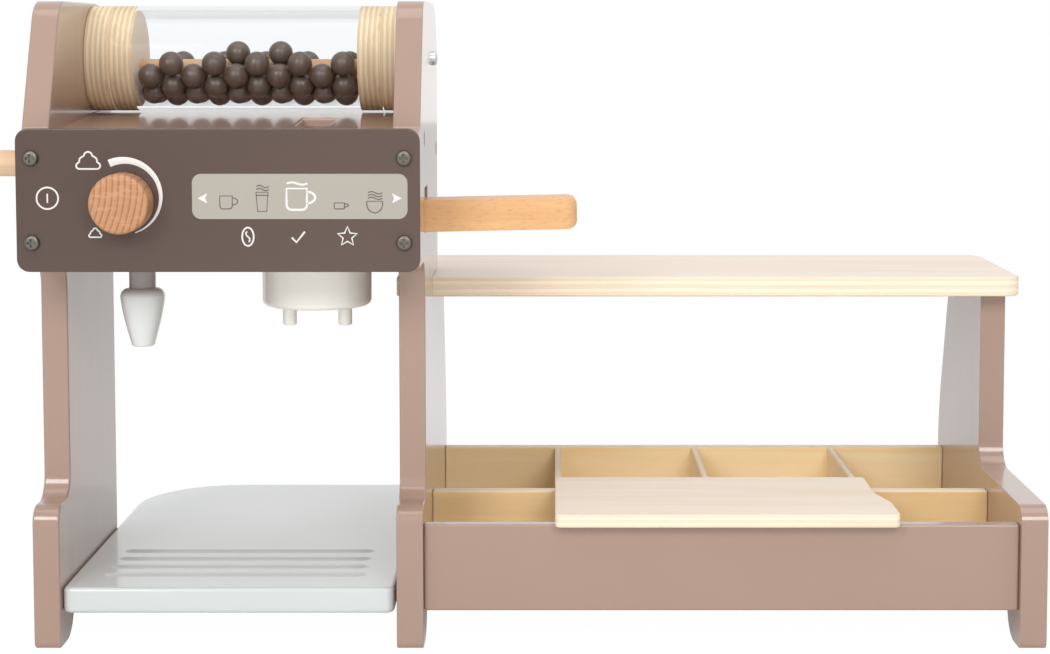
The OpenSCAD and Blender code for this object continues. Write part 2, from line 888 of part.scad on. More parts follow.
module side_peg() {
    r = peg_d / 2;
    color("#ead9bd") translate([-peg_out, peg_y, peg_z]) rotate([0, 90, 0])
        rotate_extrude() polygon(concat(
            [[0, 0]],
            [for (a = [-90:15:0]) [r - 2 + 2 * cos(a), 2 + 2 * sin(a)]],
            [
                [r, peg_out],
                [peg_tenon_d / 2, peg_out],
                [peg_tenon_d / 2, peg_out + peg_in - seat_gap],
                [0, peg_out + peg_in - seat_gap]
            ]
        ));
}

// Dowels between the right panel and the shelf, grown by gap for their holes
module shelf_dowel_rods(gap) {
    in_shelf = shelf_t * 0.6;
    for (y = shelf_dowel_at)
        translate([right_x + panel_t / 2, y, shelf_z + in_shelf - shelf_dowel_l - gap])
            cylinder(d = shelf_dowel_d + 2 * gap, h = shelf_dowel_l + 2 * gap);
}

module cup_shelf() {
    color(ply) difference() {
        translate([shelf_x0, shelf_y, shelf_z]) linear_extrude(shelf_t) polygon(rounded([
            [0, 0, 2],
            [shelf_x1 - shelf_x0, 0, shelf_r],
            [shelf_x1 - shelf_x0, shelf_d, shelf_r],
            [0, shelf_d, shelf_r]
        ]));
        shelf_dowel_rods(seat_gap);
    }
}

module shelf_dowels() {
    color(beech) shelf_dowel_rods(0);
}

// A board of the storage box between the middle and right panels
module box_board(y, t, z0, z1) {
    difference() {
        translate([box_x, y, z0]) cube([box_w, t, z1 - z0]);
        holes_x(mid_x, box_screw_at, screw_l + seat_gap);
        holes_x(right_x + panel_t - screw_l - seat_gap, box_screw_at, screw_l + seat_gap);
    }
}

module storage_front() {
    color(wall_paint) box_board(front_y, front_t, box_z, wall_z);
}

module storage_middle_wall() {
    color(ply) box_board(middle_y, wall_t, box_z + box_floor_t, wall_z);
}

module storage_rear_wall() {
    color(ply) box_board(rear_y, wall_t, box_z, rear_z);
}

module storage_floor() {
    y0 = front_y + front_t;
    color(ply) translate([box_x, y0, box_z]) cube([box_w, rear_y - y0, box_floor_t]);
}

module storage_screws() {
    color(zinc) {
        sunk_screws_x(mid_x, box_screw_at, 1);
        sunk_screws_x(right_x + panel_t, box_screw_at, -1);
    }
}

// Divider number i, counted from the one on the left
module divider(i) {
    y0 = middle_y + wall_t;
    z0 = box_z + box_floor_t;
    x = box_x + box_w / 2 + (i - (divider_n - 1) / 2) * divider_pitch - divider_t / 2;
    color(ply) across(x, divider_t) polygon([
        [y0, z0], [rear_y, z0], [rear_y, rear_z], [y0, wall_z]
    ]);
}

module storage_divider_left() {
    divider(0);
}

module storage_divider_middle() {
    divider(1);
}

module storage_divider_right() {
    divider(2);
}

module storage_lid() {
    step_y = lid_d * 0.3;
    step_end = lid_d * 0.58;
    color(ply) translate([box_x + lid_x, -lid_over, lid_z]) linear_extrude(lid_t)
        polygon(rounded([
            [0, 0, 3],
            [lid_l + lid_extra, 0, 3],
            [lid_l + lid_extra, step_y, 6],
            [lid_l, step_end, 6],
            [lid_l, lid_d, 3],
            [0, lid_d, 3]
        ]));
}

placed() left_side_panel();
placed() middle_side_panel();
placed() right_side_panel();
placed() housing_top();
placed() housing_back();
placed() housing_floor();
placed() housing_front();
placed() housing_screws();
placed() control_panel();
placed() control_panel_screws();
placed() steam_knob();
placed() knob_shaft();
placed() knob_retainer();
placed() bean_tube();
placed() plug_flange_left();
placed() plug_flange_right();
placed() plug_core_left();
placed() plug_core_right();
placed() tube_tie_dowel();
placed() coffee_beans();
placed() plug_screws();
placed() brew_lever();
placed() lever_pin();
placed() lever_bracket();
placed() brew_outlet();
placed() brew_spouts();
placed() outlet_screws();
placed() wand_rod();
placed() wand_tip();
placed() drip_tray();
placed() tray_dowels();
placed() side_peg();
placed() cup_shelf();
placed() shelf_dowels();
placed() storage_front();
placed() storage_middle_wall();
placed() storage_rear_wall();
placed() storage_floor();
placed() storage_divider_left();
placed() storage_divider_middle();
placed() storage_divider_right();
placed() storage_screws();
placed() storage_lid();
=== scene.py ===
import math

import bmesh
import bpy
from mathutils import Matrix, Vector


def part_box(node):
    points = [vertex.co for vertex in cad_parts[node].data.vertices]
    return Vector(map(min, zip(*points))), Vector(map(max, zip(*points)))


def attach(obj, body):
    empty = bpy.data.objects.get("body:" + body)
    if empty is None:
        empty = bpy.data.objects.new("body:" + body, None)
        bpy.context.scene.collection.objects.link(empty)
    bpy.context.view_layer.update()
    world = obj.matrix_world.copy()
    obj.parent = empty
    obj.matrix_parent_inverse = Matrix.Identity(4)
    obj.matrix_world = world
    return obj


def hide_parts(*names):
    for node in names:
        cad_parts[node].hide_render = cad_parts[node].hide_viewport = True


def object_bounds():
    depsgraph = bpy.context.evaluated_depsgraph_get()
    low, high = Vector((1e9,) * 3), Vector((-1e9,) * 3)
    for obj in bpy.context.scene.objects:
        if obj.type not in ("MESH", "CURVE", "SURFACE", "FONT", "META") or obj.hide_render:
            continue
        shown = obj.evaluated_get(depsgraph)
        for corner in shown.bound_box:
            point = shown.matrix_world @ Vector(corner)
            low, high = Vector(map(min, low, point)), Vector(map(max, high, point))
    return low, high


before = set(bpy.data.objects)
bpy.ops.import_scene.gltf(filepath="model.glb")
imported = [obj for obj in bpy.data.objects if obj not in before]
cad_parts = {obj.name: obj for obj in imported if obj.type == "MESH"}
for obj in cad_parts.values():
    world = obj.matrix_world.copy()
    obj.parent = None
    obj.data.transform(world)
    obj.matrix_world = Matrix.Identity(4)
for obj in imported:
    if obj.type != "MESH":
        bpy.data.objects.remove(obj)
cad_low, cad_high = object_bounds()

MM = 0.001
AXES = "XYZ"


# ---------------------------------------------------------------- shader maths

BLACK, WHITE = (0, 0, 0), (1, 1, 1)
EVEN = (1, 1, 1)


class Value:
    """A shader socket's output, which adds, multiplies and compares as a number does."""

    def __init__(self, graph, socket):
        self.graph = graph
        self.socket = socket

    def maths(self, operation, other):
        return self.graph.node("ShaderNodeMath", {"operation": operation}, [self, other])

    def __add__(self, other):
        return self.maths("ADD", other)

    def __sub__(self, other):
        return self.maths("SUBTRACT", other)

    def __mul__(self, other):
        return self.maths("MULTIPLY", other)

    def __lt__(self, other):
        return self.maths("LESS_THAN", other)

    def __mod__(self, other):
        return self.maths("FLOORED_MODULO", other)

    def __or__(self, other):
        return self.maths("MAXIMUM", other)

    __radd__ = __add__


class Graph:
    """A node tree, with a call for each node."""

    def __init__(self, tree):
        self.tree = tree

    def node(self, kind, settings=None, inputs=(), out=0):
        """Adds a node with its settings, and with values or links on its sockets."""
        made = self.tree.nodes.new(kind)
        for key, value in (settings or {}).items():
            setattr(made, key, value)
        pairs = inputs.items() if isinstance(inputs, dict) else enumerate(inputs)
        for key, value in pairs:
            if isinstance(value, Value):
                self.tree.links.new(value.socket, made.inputs[key])
            else:
                made.inputs[key].default_value = value
        return Value(self, made.outputs[out])

    def ray(self, kind):
        """1 for rays of one kind, and 0 for all others."""
        return self.node("ShaderNodeLightPath", out=f"Is {kind} Ray")

    def blend(self, share, first, second):
        """A shader between two shaders."""
        return self.node("ShaderNodeMixShader", inputs=[share, first, second])


class Finish(Graph):
    """One material: a Principled shader, and the nodes that vary its colour, gloss and relief."""

    def __init__(self, name, colour, roughness, **fixed):
        self.material = bpy.data.materials.new(name)
        self.material.use_nodes = True
        super().__init__(self.material.node_tree)
        self.shader = self.tree.nodes["Principled BSDF"]
        fixed.update(Base_Color=(*colour, 1), Roughness=roughness)
        for socket, value in fixed.items():
            self.shader.inputs[socket.replace("_", " ")].default_value = value

    def vary(self, **links):
        """Links sockets of the shader to values that change over the surface."""
        for socket, value in links.items():
            self.tree.links.new(value.socket, self.shader.inputs[socket.replace("_", " ")])

    def surface(self, shader):
        """Shows another shader in place of the Principled one."""
        output = self.tree.nodes["Material Output"]
        self.tree.links.new(shader.socket, output.inputs["Surface"])

    def relief(self, height, strength, distance):
        bump = {"Height": height, "Strength": strength, "Distance": distance}
        self.vary(Normal=self.node("ShaderNodeBump", inputs=bump))

    def place(self, stretch=EVEN, centre=(0, 0, 0)):
        """Object coordinates, moved so that centre is the origin, and stretched."""
        coords = self.node("ShaderNodeTexCoord", out="Object")
        moved = self.node("ShaderNodeVectorMath", {"operation": "SUBTRACT"}, [coords, centre])
        return self.node("ShaderNodeVectorMath", {"operation": "MULTIPLY"}, [moved, stretch])

    def along(self, axis):
        """Object coordinate along X, Y or Z, in metres."""
        coords = self.node("ShaderNodeTexCoord", out="Object")
        return self.node("ShaderNodeSeparateXYZ", inputs=[coords], out=AXES.index(axis))

    def noise(self, scale, stretch=EVEN, detail=3, rough=0.5, twist=0):
        return self.node(
            "ShaderNodeTexNoise",
            inputs={
                "Vector": self.place(stretch),
                "Scale": scale,
                "Detail": detail,
                "Roughness": rough,
                "Distortion": twist,
            },
        )

    def ramp(self, value, *stops):
        """A colour for a value, from stops of (value, colour)."""
        made = self.node("ShaderNodeValToRGB", inputs=[value])
        elements = made.socket.node.color_ramp.elements
        while len(elements) < len(stops):
            elements.new(1)
        for element, (position, colour) in zip(elements, stops):
            element.position = position
            element.color = (*colour, 1)
        return made

    def mask(self, value, start, end):
        """0 up to start and 1 from end on."""
        return self.ramp(value, (start, BLACK), (end, WHITE))

    def mix(self, share, first, second):
        """A colour between two colours."""
        colours = [c if isinstance(c, Value) else (*c, 1) for c in (first, second)]
        settings = {"data_type": "RGBA", "clamp_factor": True}
        inputs = {0: share, 6: colours[0], 7: colours[1]}
        return self.node("ShaderNodeMix", settings, inputs, 2)


def tint(colour, factor):
    return tuple(min(1, c * factor) for c in colour)


def grain_along(axis, share=0.06):
    """A stretch that draws a pattern out along one axis."""
    return tuple(share if name == axis else 1 for name in AXES)


# ---------------------------------------------------------------- finishes

TAUPE = (0.350, 0.232, 0.180)
BIRCH = (0.860, 0.775, 0.680)
BEECH = (0.790, 0.465, 0.215)
BOARD_LAYERS = ((0.920, 0.820, 0.640), (0.880, 0.690, 0.490))
PLUG_LAYERS = ((0.800, 0.665, 0.460), (0.640, 0.460, 0.275))

RING_PITCH = 0.314  # metres from ring to ring where the texture's scale is 1
ACRYLIC_IOR = 1.49
SHEEN_IOR, SHEEN_SHARE = 1.3, 0.22


def painted(name, colour, grain="Z", roughness=0.3, relief=0.02):
    """Sprayed paint over wood: an even colour, with the grain just showing in its gloss."""
    f = Finish(name, colour, roughness, Specular_IOR_Level=0.2, Coat_Weight=1, Coat_Roughness=0.11)
    lines = f.noise(260, grain_along(grain), detail=4, rough=0.6)
    clouds = f.noise(14, detail=2)
    f.vary(
        Base_Color=f.mix(clouds, tint(colour, 0.95), tint(colour, 1.05)),
        Roughness=roughness - 0.05 + lines * 0.1,
    )
    f.relief(lines + clouds * 0.5, relief, 0.6 * MM)
    return f.material


def timber(name, light, dark, rough, grain="X", flecks=0.0, bands=60):
    """Bare wood: growth bands, fine pores along the grain and short dark flecks."""
    f = Finish(name, light, rough)
    growth = f.noise(bands, grain_along(grain), rough=0.55, twist=1.4)
    pores = f.noise(1100, grain_along(grain), rough=0.7)
    wood = f.mix(pores * 0.3, f.ramp(growth, (0.3, light), (0.72, dark)), tint(dark, 0.85))
    if flecks:
        rays = f.noise(1500, grain_along(grain, 0.2), detail=1, rough=0.3)
        wood = f.mix(f.mask(rays, 0.6, 0.7) * flecks, wood, tint(dark, 0.7))
    f.vary(Base_Color=wood, Roughness=rough - 0.06 + pores * 0.14)
    f.relief(pores, 0.12, 0.3 * MM)
    return f.material


def end_grain(name, light, dark, heart, spacing):
    """Wood cut across the grain: arcs of growth rings about its heart, and fine rays."""
    f = Finish(name, light, 0.42)
    rings = f.node(
        "ShaderNodeTexWave",
        {"wave_type": "RINGS", "rings_direction": "Y", "wave_profile": "SAW"},
        {
            "Vector": f.place(centre=heart),
            "Scale": RING_PITCH / spacing,
            "Distortion": 1.6,
            "Detail": 2,
            "Detail Scale": 0.6,
        },
    )
    early = tint(light, 0.94)
    growth = f.ramp(rings, (0.0, light), (0.55, early), (0.9, dark), (1.0, light))
    rays = f.mask(f.noise(900, grain_along("X", 0.18), detail=2, rough=0.6), 0.5, 0.68)
    f.vary(Base_Color=f.mix(rays * 0.5, growth, tint(light, 1.25)), Roughness=0.36 + rays * 0.14)
    f.relief(rings * 0.4 + rays, 0.15, 0.2 * MM)
    return f.material


def ply_edge(node, across, layers, run, tones=BOARD_LAYERS):
    """The edge of plywood: layers of long grain and end grain in turn, with dark glue lines."""
    light, dark = tones
    low, high = (corner[AXES.index(across)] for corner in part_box(node))
    layer = (high - low) / layers
    start = low - 20 * layer  # an even count of layers below the board
    f = Finish(node + "_edge", light, 0.55)
    wobble = f.noise(150, grain_along(run), detail=2) * 0.9 - 0.45
    depth = (f.along(across) - start) * (1 / layer) + wobble
    cross = (depth % 2) < 1
    glue = (depth % 1) < 0.08
    speckle = f.noise(1500, grain_along(run, 0.3), detail=2, rough=0.7)
    long_tone = f.mix(speckle, light, tint(light, 0.92))
    cross_tone = f.mix(speckle, dark, tint(dark, 0.84))
    stains = f.mask(f.noise(150, grain_along(run)), 0.56, 0.74)
    wood = f.mix(cross * 0.7, long_tone, cross_tone)
    wood = f.mix(stains * 0.4, wood, tint(dark, 0.7))
    f.vary(Base_Color=f.mix(glue * 0.35, wood, tint(dark, 0.6)))
    f.relief(cross * 0.5 + speckle, 0.25, 0.12 * MM)
    return f.material


def metal(name, colour, roughness):
    f = Finish(name, colour, roughness, Metallic=1.0)
    scuffs = f.noise(900, rough=0.6)
    f.vary(
        Base_Color=f.mix(scuffs, tint(colour, 0.85), tint(colour, 1.12)),
        Roughness=roughness - 0.08 + scuffs * 0.2,
    )
    f.relief(scuffs, 0.06, 0.05 * MM)
    return f.material


def smoky(name):
    """Smoke-tinted acrylic with a polished face that scatters a little. Its colour holds painted
    light: soft blotches and a brightening towards +X stand in for shade and reflections on the
    panel.
    """
    f = Finish(name, (0.094, 0.062, 0.050), 0.22, Specular_IOR_Level=0.3, Coat_Weight=0.2)
    # Painted light: noise blotches of painted shade, and a painted brightening towards +X standing
    # in for reflected light.
    painted_shade_and_reflection = f.noise(9, detail=2) * 0.5 + (f.along("X") * 4 + 0.7)
    dust = f.noise(1300, detail=2, rough=0.8)
    f.vary(
        Base_Color=f.mix(painted_shade_and_reflection, (0.085, 0.056, 0.046), (0.108, 0.073, 0.060)),
        Roughness=0.16 + dust * 0.12,
    )
    return f.material


def clear(name, bends=False):
    """Clear acrylic with faint reflections.

    It bends the light that enters it only where it is asked to. Light that leaves it and light
    that casts shadows goes straight on.
    """
    f = Finish(name, (0.985, 0.99, 0.99), 0.0)
    through = f.node("ShaderNodeBsdfTransparent", inputs={"Color": (0.985, 0.99, 0.992, 1)})
    inside = through
    if bends:
        bent = f.node("ShaderNodeBsdfRefraction", inputs={"IOR": ACRYLIC_IOR, "Roughness": 0})
        leaving = f.node("ShaderNodeNewGeometry", out="Backfacing")
        inside = f.blend(f.ray("Shadow") | leaving, bent, through)
    shine = f.node("ShaderNodeBsdfGlossy", inputs={"Roughness": 0.04})
    sheen = f.node("ShaderNodeFresnel", inputs={"IOR": SHEEN_IOR})
    f.surface(f.blend(sheen * SHEEN_SHARE, inside, shine))
    return f.material


def bean_stain(name):
    f = Finish(name, (0.095, 0.065, 0.050), 0.3)
    grain = f.noise(500, grain_along("Z"), rough=0.6)
    f.vary(
        Base_Color=f.mix(grain, (0.070, 0.047, 0.036), (0.138, 0.096, 0.074)),
        Roughness=0.26 + grain * 0.12,
    )
    f.relief(grain, 0.1, 0.1 * MM)
    return f.material


def ink(name, colour):
    f = Finish(name, colour, 0.4)
    speck = f.noise(700, detail=2)
    f.vary(Base_Color=f.mix(speck, tint(colour, 0.97), tint(colour, 1.03)))
    return f.material


knob_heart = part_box("steam_knob")[0] + Vector((-38, 0, 22)) * MM

taupe = painted("taupe_paint", TAUPE)
taupe_long = painted("taupe_paint_long", TAUPE, "X", 0.32)
head_gloss = painted("head_paint", tint(TAUPE, 1.2), "X", 0.34, 0.03)
tray_paint = painted("tray_paint", (0.590, 0.625, 0.620), "X")
outlet_paint = painted("outlet_paint", (0.980, 0.955, 0.890), "Z", 0.35)
tip_paint = painted("tip_paint", (0.690, 0.710, 0.695))
# The wand's rod is white paint. Its grey colour here is painted shade, for the rod that hangs in
# the shadow under the head.
rod_grey_painted_shade = painted("rod_grey_painted_shade", (0.335, 0.300, 0.285), "Z", 0.35, 0.03)
birch_face = timber("birch_face", BIRCH, (0.80, 0.66, 0.53), 0.42)
# Pale birch for the plug discs, lever bracket and knob retainer. Its near-white tone is partly
# painted light, brightened for faces that the lamps light poorly.
birch_disc_painted_light = timber("birch_disc_painted_light", (0.99, 0.84, 0.70), (0.92, 0.74, 0.58), 0.5, "Z")
divider_face = timber("divider_face", (0.92, 0.76, 0.54), (0.84, 0.65, 0.42), 0.5, "Y")
beech_long = timber("beech_long", BEECH, (0.66, 0.35, 0.15), 0.36, "X", 0.4, 150)
beech_knob = end_grain(
    "beech_knob", (0.480, 0.240, 0.115), (0.290, 0.112, 0.046), knob_heart, 2.6 * MM
)
dowel_wood = timber("dowel_wood", (0.62, 0.40, 0.23), (0.50, 0.29, 0.15), 0.5, "X", 0.1, 150)
peg_wood = timber("pale_dowel", (0.82, 0.61, 0.41), (0.72, 0.49, 0.30), 0.5, "X", 0.1, 150)
# One pine in two tones: the rear wall's lighter, more golden copy is painted light, brightened to
# make up for the dim shade deep in the box.
pine_front = timber("pine_front", (0.95, 0.71, 0.38), (0.82, 0.54, 0.25), 0.5, bands=45)
pine_rear_painted_light = timber("pine_rear_painted_light", (1.00, 0.86, 0.56), (0.96, 0.70, 0.36), 0.5, bands=45)
zinc = metal("zinc", (0.62, 0.63, 0.64), 0.3)
dark_steel = metal("dark_steel", (0.17, 0.155, 0.135), 0.34)
smoke = smoky("smoky_acrylic")
clear_tube = clear("clear_acrylic")
clear_over_wood = clear("clear_acrylic_over_wood", bends=True)
bean_brown = bean_stain("dark_bean")
ink_white = ink("ink_white", (0.72, 0.70, 0.68))
ink_grey = ink("ink_grey", (0.13, 0.11, 0.10))
display_field = ink("display_field", (0.370, 0.340, 0.295))


# ---------------------------------------------------------------- making pieces

WELD = 0.002 * MM
FLAT_ANGLE = math.radians(0.6)
SHARP = 35

# A board keeps the sharp rims of its holes: these pieces lie in them.
BORE_NODES = (
    "housing_screws", "plug_screws", "storage_screws", "control_panel_screws", "outlet_screws",
    "side_peg", "tray_dowels", "shelf_dowels", "knob_shaft", "wand_rod",
)
BORE_MARGIN = Vector((3.5, 0.4, 0.4)) * MM


def size(node):
    low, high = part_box(node)
    return high - low


def half_width(node, axis):
    """Radius of a round CAD node that lies along axis."""
    return max(span for name, span in zip(AXES, size(node)) if name != axis) / 2


def show(made):
    bpy.context.scene.collection.objects.link(made)
    return made


def shade(mesh, sharp=SHARP):
    """Shades a mesh smooth where its faces meet below the sharp angle, in degrees."""
    mesh.shade_smooth()
    mesh.set_sharp_from_angle(angle=math.radians(sharp))


def piece(name, bm, finishes, body="root", nodes=(), sharp=SHARP):
    """Makes a named piece of a bmesh, in place of CAD nodes if any are named."""
    mesh = bpy.data.meshes.new(name)
    bm.to_mesh(mesh)
    bm.free()
    made = show(bpy.data.objects.new(name, mesh))
    for finish in finishes:
        mesh.materials.append(finish)
    shade(mesh, sharp)
    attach(made, body)
    if nodes:
        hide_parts(*nodes)
    return made


def keep_flat(made):
    """Shades flat faces evenly right up to their rounded edges."""
    made.modifiers.new("flat_faces", "WEIGHTED_NORMAL").keep_sharp = True


def face_and_edge(made, axis):
    """Gives the faces across axis the first finish, and all others the second."""
    i = AXES.index(axis)
    for polygon in made.data.polygons:
        polygon.material_index = 0 if abs(polygon.normal[i]) > 0.9 else 1


def welded(node):
    """A copy of a CAD node, with its doubled points merged."""
    bm = bmesh.new()
    bm.from_mesh(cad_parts[node].data)
    bmesh.ops.remove_doubles(bm, verts=bm.verts, dist=WELD)
    return bm


def solid_of(node):
    """A welded copy of a CAD node, with its flat faces whole again."""
    bm = welded(node)
    bmesh.ops.dissolve_limit(bm, angle_limit=FLAT_ANGLE, verts=bm.verts, edges=bm.edges)
    return bm


def loose_boxes(node):
    """The low and high corners of each separate solid in a CAD node."""
    bm = welded(node)
    left = set(bm.verts)
    boxes = []
    while left:
        group, queue = [], [left.pop()]
        while queue:
            vert = queue.pop()
            group.append(vert.co.copy())
            for edge in vert.link_edges:
                other = edge.other_vert(vert)
                if other in left:
                    left.remove(other)
                    queue.append(other)
        spans = list(zip(*group))
        boxes.append((Vector(map(min, spans)), Vector(map(max, spans))))
    bm.free()
    return sorted(boxes, key=lambda box: tuple(box[0]))


bore_boxes = [
    (low - BORE_MARGIN, high + BORE_MARGIN)
    for node in BORE_NODES
    for low, high in loose_boxes(node)
]


def in_bore(point):
    return any(all(low[i] <= point[i] <= high[i] for i in range(3)) for low, high in bore_boxes)


def round_edges(bm, radius, segments=4, least=60):
    """Rounds every edge sharper than least degrees that isn't the rim of a hole."""
    edges = [
        edge
        for edge in bm.edges
        if len(edge.link_faces) == 2
        and edge.calc_face_angle(0) > math.radians(least)
        and not all(in_bore(vert.co) for vert in edge.verts)
    ]
    bmesh.ops.bevel(
        bm,
        geom=edges,
        offset=radius,
        offset_type="OFFSET",
        affect="EDGES",
        segments=segments,
        profile=0.5,
        material=-1,
        clamp_overlap=True,
    )


def board(node, finishes, radius, body="root", segments=4):
    """A board with rounded edges in place of a CAD node."""
    bm = solid_of(node)
    round_edges(bm, radius, segments)
    made = piece(node + "_board", bm, finishes, body, [node])
    keep_flat(made)
    return made


def ply_board(node, axis, face, layers, radius, body="root", run="X"):
    """A plywood board: its faces show long grain, and its edges the layers across axis."""
    edge = ply_edge(node, axis, layers, run)
    face_and_edge(board(node, [face, edge], radius, body, 2), axis)


# What turns the Z axis to each of the axes.
TURN = {
    "X": Matrix.Rotation(math.radians(90), 3, "Y"),
    "Y": Matrix.Rotation(math.radians(-90), 3, "X"),
    "Z": Matrix.Identity(3),
}


def lathe(profile, foot, axis, steps=96):
    """Turns a profile of (radius, height) points round an axis through foot."""
    bm = bmesh.new()
    verts = [bm.verts.new((r, 0, h)) for r, h in profile]
    edges = [bm.edges.new(pair) for pair in zip(verts, verts[1:])]
    bmesh.ops.spin(
        bm,
        geom=verts + edges,
        cent=(0, 0, 0),
        axis=(0, 0, 1),
        angle=math.tau,
        steps=steps,
        use_merge=True,
    )
    bmesh.ops.remove_doubles(bm, verts=bm.verts, dist=0.0005 * MM)
    bmesh.ops.recalc_face_normals(bm, faces=bm.faces)
    bmesh.ops.rotate(bm, verts=bm.verts, cent=(0, 0, 0), matrix=TURN[axis])
    bmesh.ops.translate(bm, verts=bm.verts, vec=foot)
    return bm


def arc(x, z, rx, start, end, n=24, rz=None):
    """Points of an arc about (x, z), from start to end in degrees."""
    rz = rx if rz is None else rz
    angles = [math.radians(start + (end - start) * i / n) for i in range(n + 1)]
    return [(x + rx * math.cos(a), z + rz * math.sin(a)) for a in angles]


def rod(r, length, ease):
    """Profile of a solid rod with eased ends."""
    return (
        [(0, 0)]
        + arc(r - ease, ease, ease, -90, 0, 6)
        + arc(r - ease, length - ease, ease, 0, 90, 6)
        + [(0, length)]
    )


def turned(node, axis, profile, finishes, body="root"):
    """A turned piece in place of a CAD node, along the node's own axis."""
    low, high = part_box(node)
    foot = (low + high) / 2
    i = AXES.index(axis)
    foot[i] = low[i]
    bm = lathe(profile, foot, axis)
    return piece(node + "_turned", bm, finishes, body, [node])


# ---------------------------------------------------------------- painted boards


def tray():
    """The tray, whose groove lips are softer than its sharp-edged solid shows."""
    bm = solid_of("drip_tray")
    round_edges(bm, 2 * MM, 5)
    round_edges(bm, 1.3 * MM, least=30)
    keep_flat(piece("drip_tray_board", bm, [tray_paint], nodes=["drip_tray"]))


for side in ("left", "middle", "right"):
    board(side + "_side_panel", [taupe], 2 * MM)
board("housing_top", [head_gloss], 1 * MM)
board("housing_back", [taupe_long], 1 * MM)
board("housing_front", [taupe_long], 0.8 * MM)
board("storage_front", [taupe_long], 1 * MM)
board("control_panel", [smoke], 0.6 * MM, segments=3)
tray()


# ---------------------------------------------------------------- bare wood

PEG_IN_PANEL = 8 * MM


def lever():
    """The lever, whose outer end is also rounded as seen from above."""
    end_r, cuts = 6 * MM, 9
    low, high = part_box("brew_lever")
    middle, half = (low.y + high.y) / 2, (high.y - low.y) / 2
    bm = solid_of("brew_lever")
    round_edges(bm, 1.6 * MM)
    for i in range(cuts):
        reach = end_r * math.sin(math.pi / 2 * i / cuts)
        bmesh.ops.bisect_plane(
            bm,
            geom=bm.verts[:] + bm.edges[:] + bm.faces[:],
            plane_co=(high.x - end_r + reach, 0, 0),
            plane_no=(1, 0, 0),
        )
    for vert in bm.verts:
        reach = min(end_r, vert.co.x - (high.x - end_r))
        if reach > 0:
            inset = end_r - math.sqrt(end_r * end_r - reach * reach)
            vert.co.y = middle + (vert.co.y - middle) * (half - inset) / half
    keep_flat(piece("brew_lever_bar", bm, [beech_long], "lever", ["brew_lever"]))


def knob():
    """The knob, with a slightly domed face and a rounded rim."""
    r, length = half_width("steam_knob", "Y"), size("steam_knob").y
    rim, dome, ease = 2 * MM, 0.5 * MM, 0.6 * MM
    profile = (
        [(0, 0), (r * 0.5, 0.1 * MM), (r - rim - 1 * MM, dome)]
        + arc(r - rim, rim + dome * 0.4, rim, -70, 0, 6)
        + arc(r - ease, length - ease, ease, 0, 90, 6)
        + [(0, length)]
    )
    turned("steam_knob", "Y", profile, [beech_knob], "knob")


ply_board("cup_shelf", "Z", birch_face, 5, 0.8 * MM)
ply_board("storage_lid", "Z", birch_face, 5, 0.6 * MM, body="lid")
ply_board("storage_floor", "Z", birch_face, 3, 0.2 * MM)
for side in ("left", "middle", "right"):
    ply_board("storage_divider_" + side, "X", divider_face, 3, 0.25 * MM, run="Y")
ply_board("storage_middle_wall", "Y", pine_front, 5, 0.6 * MM)
ply_board("storage_rear_wall", "Y", pine_rear_painted_light, 5, 0.6 * MM)
board("lever_bracket", [birch_disc_painted_light], 0.4 * MM, segments=2)
lever()
knob()
for node, hidden, ease, wood, slot in (
    ("side_peg", PEG_IN_PANEL, 2 * MM, peg_wood, "pale_dowel"),
    ("tube_tie_dowel", 0, 0.2 * MM, dowel_wood, "dowel_wood"),
):
    turned(node, "X", rod(half_width(node, "X"), size(node).x - hidden, ease), [wood])


# ---------------------------------------------------------------- bean tube

PLUG_LAYER_COUNT = 9
TUBE_WALL = 2 * MM


def ply_disc(node):
    """A plywood disc on the tube's axis, with its layers round its rim."""
    edge = ply_edge(node, "X", PLUG_LAYER_COUNT, "Z", PLUG_LAYERS)
    profile = rod(half_width(node, "X"), size(node).x, 0.35 * MM)
    face_and_edge(turned(node, "X", profile, [birch_disc_painted_light, edge]), "X")


def tube():
    """The tube, whose visible bore narrows to a seat where the plugs' inner discs lie in it.

    Each seat lies a little inside the rim of its disc, and ends short of the disc's face.
    """
    ease, overlap, short = 0.3 * MM, 0.1 * MM, 0.4 * MM
    r, length = half_width("bean_tube", "X"), size("bean_tube").x
    bore = r - TUBE_WALL
    seat = half_width("plug_core_left", "X") - overlap
    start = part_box("bean_tube")[0].x
    hollow_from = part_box("plug_core_left")[1].x - start - short
    hollow_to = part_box("plug_core_right")[0].x - start + short
    profile = (
        arc(r - ease, ease, ease, -90, 0, 3)
        + [(r, hollow_from), (r, hollow_to)]
        + arc(r - ease, length - ease, ease, 0, 90, 3)
        + [(seat, length), (seat, hollow_to), (bore, hollow_to)]
        + [(bore, hollow_from), (seat, hollow_from), (seat, 0)]
    )
    profile.append(profile[0])
    finishes = [clear_tube, clear_over_wood]
    made = turned("bean_tube", "X", profile, finishes, "tube")
    for polygon in made.data.polygons:
        hollow = hollow_from <= polygon.center.x - start <= hollow_to
        polygon.material_index = 0 if hollow else 1


def beans():
    """A ball in place of each bean."""
    bm = bmesh.new()
    for low, high in loose_boxes("coffee_beans"):
        ball = bmesh.ops.create_icosphere(bm, subdivisions=3, radius=(high.x - low.x) / 2)
        bmesh.ops.translate(bm, verts=ball["verts"], vec=(low + high) / 2)
    piece("coffee_bean_balls", bm, [bean_brown], nodes=["coffee_beans"], sharp=80)


for side in ("left", "right"):
    ply_disc("plug_flange_" + side)
    ply_disc("plug_core_" + side)
tube()
beans()


# ---------------------------------------------------------------- outlet and wand


